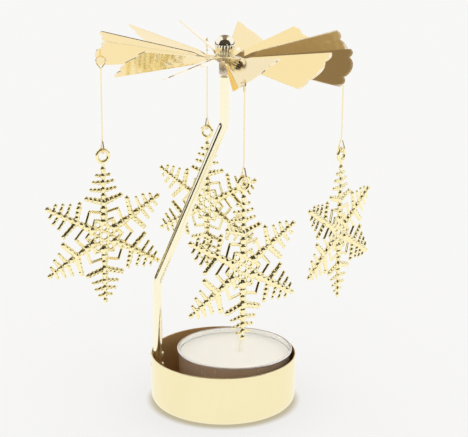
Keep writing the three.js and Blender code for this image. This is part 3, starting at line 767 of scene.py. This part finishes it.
def half_width(reach):
    share = (reach - HUB_RADIUS) / (CORNER_REACH - HUB_RADIUS)
    return NECK_HALF_WIDTH + (CORNER_HALF_WIDTH - NECK_HALF_WIDTH) * max(share, 0)


def vane_edge(offset):
    """How far out a vane reaches at an offset: a big lobe between two small ones."""
    off = abs(offset)
    big_power, small_power = LOBE_POWERS
    if off < NOTCH_HALF_WIDTH:
        share = off / NOTCH_HALF_WIDTH
        return NOTCH_REACH + BIG_LOBE * (1 - share * share) ** big_power
    share = (off - NOTCH_HALF_WIDTH) / (CORNER_HALF_WIDTH - NOTCH_HALF_WIDTH)
    slope = (CORNER_REACH - NOTCH_REACH) * share
    return NOTCH_REACH + slope + SMALL_LOBE * sin(pi * min(share, 1)) ** small_power


def vane_columns():
    """Offsets across the vane's end, as shares of its half width, finer near the notches."""
    notch = NOTCH_HALF_WIDTH / CORNER_HALF_WIDTH
    big_steps, small_steps = 9, 8
    right = [notch * sin(pi / 2 * step / big_steps) for step in range(big_steps + 1)]
    for step in range(1, small_steps + 1):
        right.append(notch + (1 - notch) * (1 - cos(pi * step / small_steps)) / 2)
    return [-share for share in reversed(right[1:])] + right


def make_vane(vane):
    """One vane, a bent sheet with two sides and a rim."""
    columns = vane_columns()
    rows = 40
    start = sqrt(HUB_RADIUS**2 - NECK_HALF_WIDTH**2) - SHEET
    vertices = []
    for side in (-1, 1):
        for row in range(rows + 1):
            along = (row / rows) ** ROW_POWER
            for share in columns:
                edge = vane_edge(share * CORNER_HALF_WIDTH)
                reach = start + (edge - start) * along
                nominal = min(start + (CORNER_REACH - start) * along, CORNER_REACH)
                vertices.append(vane_point(reach, share * half_width(nominal), side * SHEET / 2, vane))
    width = len(columns)
    layer = (rows + 1) * width
    faces = []
    for row in range(rows):
        for column in range(width - 1):
            a = row * width + column
            faces.append((a, a + width, a + width + 1, a + 1))
            faces.append((layer + a, layer + a + 1, layer + a + width + 1, layer + a + width))
    rim = [row * width for row in range(rows, 0, -1)]
    rim += list(range(width - 1))
    rim += [row * width + width - 1 for row in range(rows)]
    rim += [rows * width + column for column in range(width - 1, 0, -1)]
    for a, b in zip(rim, rim[1:] + rim[:1]):
        faces.append((a, b, layer + b, layer + a))
    return add_mesh(f"vane_{vane}", vertices, faces)


def hook_hole(vane):
    """A cutter for the hole that a hooked vane's wire hangs in."""
    path = [vane_point(HOOK_REACH, HOOK_OFFSET, side * SHEET, vane) for side in (-2, 2)]
    return rod("hole_cutter", path, [HOOK_RADIUS, HOOK_RADIUS], sides=32)


def join(name, pieces):
    """Joins mesh objects that share one frame into a single object."""
    bm = bmesh.new()
    for piece in pieces:
        bm.from_mesh(piece.data)
    data = bpy.data.meshes.new(name)
    bm.to_mesh(data)
    bm.free()
    for piece in pieces:
        bpy.data.objects.remove(piece)
    return add_object(name, data)


def make_vanes():
    pieces = []
    for vane in range(VANE_COUNT):
        piece = make_vane(vane)
        if vane in HOOKED_VANES:
            cutter = hook_hole(vane)
            modifier = piece.modifiers.new("hole", "BOOLEAN")
            modifier.object = cutter
            modifier.solver = "EXACT"
            apply_modifiers(piece)
            bpy.data.objects.remove(cutter)
        pieces.append(bevel(piece))
    low = HUB_TOP - SHEET
    hub = [(BUSH_RADIUS, low), (HUB_RADIUS, low), (HUB_RADIUS, HUB_TOP), (BUSH_RADIUS, HUB_TOP)]
    pieces.append(bevel(turned("hub_sheet", hub, steps=96)))
    return join("rotor_vanes", pieces)


def make_knob():
    """The ball on its flange, turned from one piece."""
    flange_top = HUB_TOP + FLANGE_THICKNESS
    neck_angle = -degrees(acos(KNOB_NECK / BALL_RADIUS))
    neck_height = BALL_HEIGHT + BALL_RADIUS * sin(radians(neck_angle))
    rim = FLANGE_THICKNESS / 2
    profile = [(0, HUB_TOP), (FLANGE_RADIUS - FLANGE_BEVEL, HUB_TOP)]
    profile += arc(FLANGE_RADIUS - rim, HUB_TOP + rim, rim, -60, 75, steps=8)
    profile += [(KNOB_NECK + out, flange_top + up) for out, up in NECK_FILLET]
    profile.append((KNOB_NECK - NECK_WAIST, (flange_top + neck_height) / 2))
    profile += arc(0, BALL_HEIGHT, BALL_RADIUS, neck_angle, 90, steps=48)
    return turned("knob_ball", profile, smooth_angle=30)


def make_washer():
    top = HUB_TOP - SHEET
    edge = WASHER_THICKNESS / 3
    profile = [(BUSH_RADIUS, top), (BUSH_RADIUS, top - WASHER_THICKNESS)]
    profile += arc(WASHER_RADIUS - edge, top - WASHER_THICKNESS + edge, edge, -90, 0, steps=4)
    profile += [(WASHER_RADIUS, top)]
    return turned("rotor_washer_ring", profile, steps=96)


def make_bush():
    top = HUB_TOP - SHEET - WASHER_THICKNESS
    lower_step, upper_step = BUSH_STEPS
    profile = [(BUSH_BORE, BUSH_BOTTOM), (BUSH_RADIUS - BUSH_CHAMFER, BUSH_BOTTOM)]
    profile += [(BUSH_RADIUS, BUSH_BOTTOM + BUSH_CHAMFER), (BUSH_RADIUS, top - BUSH_STEP_HEIGHT)]
    profile += [(BUSH_RADIUS - lower_step, top), (BUSH_RADIUS - upper_step, HUB_TOP)]
    profile.append((BUSH_BORE, HUB_TOP))
    return turned("rotor_bush_sleeve", profile, steps=64)


def rotor_place():
    """The rotor's own frame: at the pin's tip, leaning a little to one side."""
    side = radians(LEAN_AZIMUTH)
    axis = Vector((-sin(side), cos(side), 0))
    return Matrix.Translation((0, 0, PIVOT)) @ Matrix.Rotation(radians(ROTOR_LEAN), 4, axis)


# Wires and snowflakes


def eye_path(radius, apex):
    """The eye at a wire's end, in X and Z round its centre: from the shank, once round,
    and back to where it left."""
    steps, bend_steps = 40, 8
    side = copysign(1, apex)
    half = asin(radius / abs(apex))
    start = side * half
    sweep = -side * (pi + 2 * half)
    corner = aloft(apex)
    tangent = Vector((radius * cos(half), 0, side * radius * sin(half)))
    bend = abs(apex) - radius * sin(half)
    shank = aloft(apex + side * bend / 3)
    entry = corner.lerp(tangent, 1 / 3)
    path = []
    for step in range(bend_steps + 1):
        share = step / bend_steps
        path.append(shank * (1 - share) ** 2 + corner * 2 * share * (1 - share) + entry * share**2)
    for step in range(steps + 1):
        angle = start + sweep * step / steps
        path.append(Vector((radius * cos(angle), 0, radius * sin(angle))))
    spread = WIRE_RADIUS + EYE_GAP
    closeness = 1 - spread / (radius * cos(half))
    mirrored = Vector((-tangent.x, 0, tangent.z))
    path.append(mirrored.lerp(corner, closeness))
    return path


def make_wire(side, azimuth, flake_turn, length):
    upper = [point - aloft(TOP_EYE_DROP) for point in eye_path(TOP_EYE_RADIUS, -TOP_EYE_APEX)]
    upper.reverse()
    turn = Matrix.Rotation(flake_turn + pi / 2, 3, "Z")
    drop = aloft(length)
    lower = [turn @ point - drop for point in eye_path(LOW_EYE_RADIUS, LOW_EYE_APEX)]
    steps = 10
    shank = [upper[-1].lerp(lower[0], step / steps) for step in range(1, steps)]
    path = upper + shank + lower
    wire = rod(f"wire_{side}", path, [WIRE_RADIUS] * len(path), sides=14, smooth_angle=50)
    return place(wire, Matrix.Rotation(azimuth, 4, "Z"))


def flat_point(reach, angle):
    """A point of the snowflake's plane, in X and Z."""
    return Vector((reach * cos(angle), 0, reach * sin(angle)))


def add_lump(bm, middle, radius, stretch, angle):
    """Adds one lump, longer along its bar than across it by the stretch."""
    matrix = Matrix.Translation(middle * MM) @ Matrix.Rotation(-angle, 4, "Y")
    sizes = (radius * stretch * MM, radius * DEPTH_SHARE * MM, radius * MM, 1)
    matrix = matrix @ Matrix.Diagonal(sizes)
    bmesh.ops.create_icosphere(bm, subdivisions=3, radius=1, matrix=matrix)


def add_lumps(bm, dice, start, angle, length, sizes):
    """A bar with a row of lumps on it, each a little different in size."""
    root, tip, pitch, bar_share = sizes
    count = max(1, round(length / pitch))
    for step in range(count + 1):
        share = step / count
        radius = (root + (tip - root) * share) * dice.uniform(*LUMP_SHARES)
        middle = start + flat_point(length * share, angle)
        add_lump(bm, middle, radius, dice.uniform(*STRETCH_SHARES), angle)
    add_bar(bm, [start, start + flat_point(length, angle)], (root * bar_share, tip * bar_share))


def join_rings(bm, here, there):
    """Adds a face between each side of one ring of vertices and the next ring's."""
    for a, b, c, d in zip(here, here[1:] + here[:1], there[1:] + there[:1], there):
        bm.faces.new((a, b, c, d))


def add_bar(bm, path, half_widths):
    """A ridged bar with a diamond section, in the snowflake's plane."""
    direction = (path[1] - path[0]).normalized()
    across = Vector((-direction.z, 0, direction.x))
    rings = []
    for point, half in zip(path, half_widths):
        depth = Vector((0, half, 0))
        corners = [across * half, depth, -across * half, -depth]
        rings.append([bm.verts.new((point + corner) * MM) for corner in corners])
    join_rings(bm, *rings)
    bm.faces.new(list(reversed(rings[0])))
    bm.faces.new(rings[1])


def add_ring(bm, middle, radius, tube, steps=28, sides=10):
    """A small round ring in the snowflake's plane."""
    rings = []
    for step in range(steps):
        around = 2 * pi * step / steps
        ring = []
        for side in range(sides):
            angle = 2 * pi * side / sides
            outward = flat_point(radius + tube * cos(angle), around)
            ring.append(bm.verts.new((middle + outward + Vector((0, tube * sin(angle), 0))) * MM))
        rings.append(ring)
    for here, there in zip(rings, rings[1:] + rings[:1]):
        join_rings(bm, here, there)


def make_flake_mesh():
    """One snowflake, melted together from lumps, bars and rings as a casting is."""
    dice = random.Random(FLAKE_SEED)
    bm = bmesh.new()
    pitch = 2 * pi / FLAKE_ARMS
    spine = FLAKE_RADIUS - SPINE_START - SPINE_TIP
    for arm in range(FLAKE_ARMS):
        angle = pi / 2 + arm * pitch
        between = angle + pitch / 2
        add_lumps(bm, dice, flat_point(SPINE_START, angle), angle, spine, SPINE_SIZES)
        for side in (-1, 1):
            turn = angle + side * radians(BRANCH_ANGLE)
            add_lumps(bm, dice, flat_point(BRANCH_REACH, angle), turn, BRANCH_LENGTH, BRANCH_SIZES)
            turn = angle + side * radians(TWIG_ANGLE)
            for reach, length in TWIGS:
                add_lumps(bm, dice, flat_point(reach, angle), turn, length, TWIG_SIZES)
        for reach, corner, half in CHEVRONS:
            point = flat_point(corner, between)
            for leg_angle in (angle, angle + pitch):
                leg = flat_point(reach, leg_angle)
                past = point + (point - leg).normalized() * half / 2
                add_bar(bm, [leg, past], (half, half))
        add_ring(bm, flat_point(PETAL_REACH, angle), PETAL_RADIUS, LACE_TUBE)
        add_ring(bm, flat_point(GAP_REACH, between), GAP_RADIUS, LACE_TUBE)
    add_ring(bm, Vector(), CENTRE_RADIUS, LACE_TUBE)
    add_ring(bm, aloft(RING_DROP), RING_RADIUS, RING_TUBE, steps=48, sides=14)
    neck = [aloft(FLAKE_RADIUS - 2 * SPINE_TIP), aloft(RING_DROP - RING_RADIUS)]
    add_bar(bm, neck, (NECK_BAR, NECK_BAR))
    data = bpy.data.meshes.new("flake_rough")
    bm.to_mesh(data)
    bm.free()
    rough = add_object("flake_rough", data)
    remesh = rough.modifiers.new("melt", "REMESH")
    remesh.mode = "VOXEL"
    remesh.voxel_size = FLAKE_VOXEL * MM
    remesh.use_smooth_shade = True
    smooth = rough.modifiers.new("smooth", "SMOOTH")
    smooth.factor = 0.5
    smooth.iterations = 2
    apply_modifiers(rough)
    mesh = rough.data
    bpy.data.objects.remove(rough)
    return mesh


# Tealight


def foil_wobble(point):
    """The small dents and waves of thin foil, on the cup's wall and rim."""
    reach = hypot(point.x, point.y)
    if reach < CUP_BASE * FOIL_STILL_SHARE or point.z < CUP_CORNER:
        return point
    share = min((point.z - CUP_CORNER) / CUP_HEIGHT, 1)
    push = sum(size * share * noise.noise(point * per_mm) for size, per_mm in (FOIL_WAVE, FOIL_DENT))
    swell = 1 + push / reach
    return Vector((point.x * swell, point.y * swell, point.z + push * RIM_WAVE_SHARE * share))


def cup_radius(height):
    return CUP_BASE + (CUP_TOP - CUP_BASE) * height / CUP_HEIGHT


def make_cup():
    bead_bottom = CUP_HEIGHT - CUP_BEAD
    bead_radius = CUP_BEAD / 2
    wall_points = 12
    profile = [(0, 0), (CUP_BASE / 2, 0)]
    profile += arc(CUP_BASE - CUP_CORNER, CUP_CORNER, CUP_CORNER, -90, 0, steps=8)
    for step in range(1, wall_points):
        height = CUP_CORNER + (bead_bottom - CUP_CORNER) * step / wall_points
        profile.append((cup_radius(height), height))
    profile.append((cup_radius(bead_bottom), bead_bottom))
    profile += arc(CUP_RIM - bead_radius, CUP_HEIGHT - bead_radius, bead_radius, -80, 120, steps=12)
    for step in range(wall_points):
        height = CUP_HEIGHT - CUP_LIP - (CUP_HEIGHT - CUP_LIP - CUP_CORNER) * step / wall_points
        profile.append((cup_radius(height) - CUP_WALL, height))
    profile += arc(CUP_BASE - CUP_CORNER, CUP_CORNER, CUP_CORNER - CUP_WALL, 0, -90, steps=8)
    profile += [(CUP_BASE / 2, CUP_WALL), (0, CUP_WALL)]
    return turned("tealight_foil_cup", profile, steps=256, wobble=foil_wobble)


def make_wax():
    top = CUP_HEIGHT - WAX_DEPTH
    edge = cup_radius(top) - CUP_WALL - WAX_GAP
    middle_lift, corner_lift = WAX_LIFTS
    edge_steps, rings = 8, 12
    profile = [(0, CUP_WALL + middle_lift), (CUP_BASE - CUP_CORNER, CUP_WALL + corner_lift)]
    profile.append((CUP_BASE - CUP_WALL - WAX_GAP, CUP_CORNER + WAX_GAP))
    profile.append((edge, top))
    for step in range(edge_steps + 1):
        share = step / edge_steps
        profile.append((edge - MENISCUS_WIDTH * share, top + MENISCUS * (1 - share) ** MENISCUS_POWER))
    profile += [(edge * (1 - step / rings), top) for step in range(2, rings)]
    profile.append((0, top))

    def cast(point):
        """A slight swell round the wick, and a top that isn't quite flat."""
        if point.z < top - HEIGHT_SLACK or point.length >= edge:
            return point
        near = hypot(point.x - WICK_OFFSET[0], point.y - WICK_OFFSET[1])
        height, per_mm = WAX_WAVE
        swell = WICK_SWELL * exp(-((near / SWELL_REACH) ** 2))
        swell += height * noise.noise(point * per_mm)
        return Vector((point.x, point.y, point.z + swell))

    return turned("candle_body", profile, steps=192, wobble=cast)


def make_wick():
    """Three twisted strands, cut off square."""
    pieces = []
    bottom = CUP_WALL + WICK_START
    top = CUP_HEIGHT - WAX_DEPTH + WICK_HEIGHT
    steps, strands = 90, 3
    strand = WICK_RADIUS * STRAND_SHARE
    for which in range(strands):
        path = []
        for step in range(steps + 1):
            share = step / steps
            angle = 2 * pi * (which / strands + STRAND_TURNS * share)
            lean = WICK_LEAN * max(0, share - LEAN_START_SHARE)
            path.append(Vector((
                (WICK_RADIUS - strand) * cos(angle) - lean,
                (WICK_RADIUS - strand) * sin(angle),
                bottom + (top - bottom) * share,
            )))
        radii = [strand] * (steps - 1) + [strand * share for share in (0.9, 0.55)]
        pieces.append(rod(f"strand_{which}", path, radii, sides=12))
    return place(join("wick_strands", pieces), Matrix.Translation((*WICK_OFFSET, 0)))


# Assembly

finish_piece(make_tray(), tray_sheet(), "base", "base_tray")
finish_piece(make_post(), ROD_GOLD, "base", "post")
for which in RIVET_HEIGHTS:
    finish_piece(make_rivet(which), ROD_GOLD, "base", f"post_rivet_{which}")

rotor = rotor_place()
finish_piece(place(make_vanes(), rotor), SHEET_GOLD, "rotor", "vane_disc")
finish_piece(place(make_knob(), rotor), KNOB_GOLD, "rotor", "rotor_knob")
finish_piece(place(make_washer(), rotor), ROD_GOLD, "rotor", "rotor_washer")
finish_piece(place(make_bush(), rotor), BUSH_GOLD, "rotor", "rotor_bush")

hinges = {joint["name"]: Vector(joint["pos_m"]) / MM for joint in frame["joints"] if "pos_m" in joint}
flake_mesh = make_flake_mesh()
for side, yaw in FLAKE_YAWS.items():
    top = hinges[f"wire_{side}_swing"] + aloft(TOP_EYE_DROP)
    bearing = hinges[f"flake_{side}_turn"]
    azimuth = atan2(top.y, top.x)
    flake_turn = radians(yaw) - azimuth
    wire = place(make_wire(side, azimuth, flake_turn, top.z - bearing.z), Matrix.Translation(top))
    finish_piece(wire, WIRE_GOLD, f"wire_{side}", f"hanger_wire_{side}")
    flake = add_object(f"flake_{side}", flake_mesh.copy())
    middle = bearing - aloft(RING_RADIUS + RING_DROP)
    place(flake, Matrix.Translation(middle) @ Matrix.Rotation(radians(yaw), 4, "Z"))
    finish_piece(flake, FLAKE_GOLD, f"flake_{side}", f"snowflake_{side}")

stand = Matrix.Translation((*TEALIGHT, TRAY_WALL))
finish_piece(place(make_cup(), stand), cup_aluminium(), "tealight", "tealight_cup")
finish_piece(place(make_wax(), stand), candle_wax(), "tealight", "tealight_wax")
finish_piece(place(make_wick(), stand), wick_cotton(), "tealight", "wick")
frame["nodes"]["wick_tab"].data.materials.clear()
frame["nodes"]["wick_tab"].data.materials.append(tinned_steel())

# Floor, world and camera


def make_floor():
    """A white sweep, wide enough that its edge lies far outside the view."""
    white, grey = (0.85, 0.84, 0.82), (0.84, 0.83, 0.81)
    contact_shadow_tone = (0.50, 0.43, 0.27)
    corners = [(x * FLOOR_HALF, y * FLOOR_HALF, 0) for x, y in ((-1, -1), (1, -1), (1, 1), (-1, 1))]
    floor = add_mesh("floor", corners, [tuple(range(len(corners)))])
    shader = Shader("floor_white")
    tone = shader.noise(per_mm=0.002, detail=2)
    shader.feed("Base Color", shader.blend(tone, white, grey))
    shader.feed("Roughness", 0.9)
    shader.feed("Specular IOR Level", 0.0)
    ray = shader.node("ShaderNodeLightPath", {})
    by_camera = shader.times(ray.outputs["Is Camera Ray"], CAMERA_GLOW)
    by_metal = shader.times(ray.outputs["Is Glossy Ray"], GLOSSY_GLOW)
    # A painted contact shadow: near the tray the glow that the camera sees darkens to a gold tone,
    # standing in for the tray's shadow and the gold light it throws
    open_sky = shader.node("ShaderNodeAmbientOcclusion", {"Distance": CONTACT_REACH * MM}).outputs["AO"]
    seen = shader.blend(shader.fall(open_sky, CONTACT_SHARES), SEEN_WHITE, contact_shadow_tone)
    glow_tone = shader.blend(ray.outputs["Is Glossy Ray"], seen, (1, 1, 1))
    glow = shader.node("ShaderNodeEmission", {"Color": glow_tone})
    mixed = shader.node("ShaderNodeMixShader", {0: shader.calc("MAXIMUM", by_camera, by_metal)})
    shader.links.new(shader.surface.outputs[0], mixed.inputs[1])
    shader.links.new(glow.outputs[0], mixed.inputs[2])
    shader.links.new(mixed.outputs[0], shader.nodes["Material Output"].inputs[0])
    floor.data.materials.append(shader.material)


def make_world():
    """A white studio. Metal shows two soft boxes, a dim ceiling between them, a white
    backdrop behind and the dark room in front; matt surfaces get an even white."""
    world = bpy.data.worlds.new("studio")
    bpy.context.scene.world = world
    world.use_nodes = True
    studio = Nodes(world.node_tree)
    direction = studio.node("ShaderNodeTexCoord", {}).outputs["Generated"]
    split = studio.node("ShaderNodeSeparateXYZ", {0: direction})
    aside = studio.calc("ABSOLUTE", split.outputs["X"])
    behind = split.outputs["Y"]
    above = split.outputs["Z"]

    # The room begins in front of the soft boxes, and further forward overhead.
    past_boxes = studio.plus(studio.times(aside, ROOM_SLANT), behind)
    past_boxes = studio.plus(past_boxes, studio.spread(above, 0, RETREAT_REACH, *RETREAT_EDGE))
    clear_of_front = studio.rise(past_boxes, ROOM_EDGE)
    side_box = studio.times(studio.rise(aside, SIDE_BOX_EDGE), clear_of_front)
    side_box = studio.times(side_box, studio.rise(above, SIDE_BOX_FOOT))
    near_middle = studio.minus(studio.times(behind, BACKDROP_SLANT), aside)
    backdrop = studio.times(studio.rise(near_middle, BACKDROP_EDGE), studio.fall(above, BACKDROP_TOP))
    inputs = {0: direction, 1: WINDOW_DIRECTION}
    window = studio.node("ShaderNodeVectorMath", inputs, operation="DOT_PRODUCT").outputs["Value"]

    room = studio.blend(studio.rise(above, WALL_TOP), ROOM_DARK, ROOM_DIM)
    ceiling = studio.blend(studio.rise(aside, CEILING_MIDDLE), CEILING_DIM, CEILING_PALE)
    room = studio.blend(clear_of_front, room, ceiling)
    room = studio.blend(studio.fall(above, TABLE_LEVEL), room, TABLE_DARK)
    room = studio.blend(studio.rise(window, WINDOW_EDGE), room, (1, 1, 1))
    room = studio.blend(side_box, room, SIDE_BOX_WHITE)
    room = studio.blend(backdrop, room, BACKDROP_WHITE)

    ray = studio.node("ShaderNodeLightPath", {})
    light = studio.blend(ray.outputs["Is Glossy Ray"], EVEN_WHITE, room)
    light = studio.blend(ray.outputs["Is Camera Ray"], light, SEEN_WHITE)
    studio.fill(studio.nodes["Background"].inputs["Color"], light)


def make_camera():
    yaw, pitch, roll = CAMERA_ANGLES
    ahead = Vector((sin(yaw) * cos(pitch), cos(yaw) * cos(pitch), -sin(pitch)))
    right = Vector((cos(yaw), -sin(yaw), 0))
    up = right.cross(ahead)
    turned_right = right * cos(roll) + up * sin(roll)
    turned_up = up * cos(roll) - right * sin(roll)
    data = bpy.data.cameras.new("camera")
    data.lens = CAMERA_LENS
    data.sensor_width = SENSOR_WIDTH
    data.clip_start, data.clip_end = CAMERA_CLIPS
    camera = add_object("camera", data)
    axes = Matrix((turned_right, turned_up, -ahead)).transposed().to_4x4()
    camera.matrix_world = Matrix.Translation(Vector(CAMERA_PLACE) * MM) @ axes
    bpy.context.scene.camera = camera


make_floor()
make_world()
make_camera()
bpy.context.scene.view_settings.view_transform = "Standard"
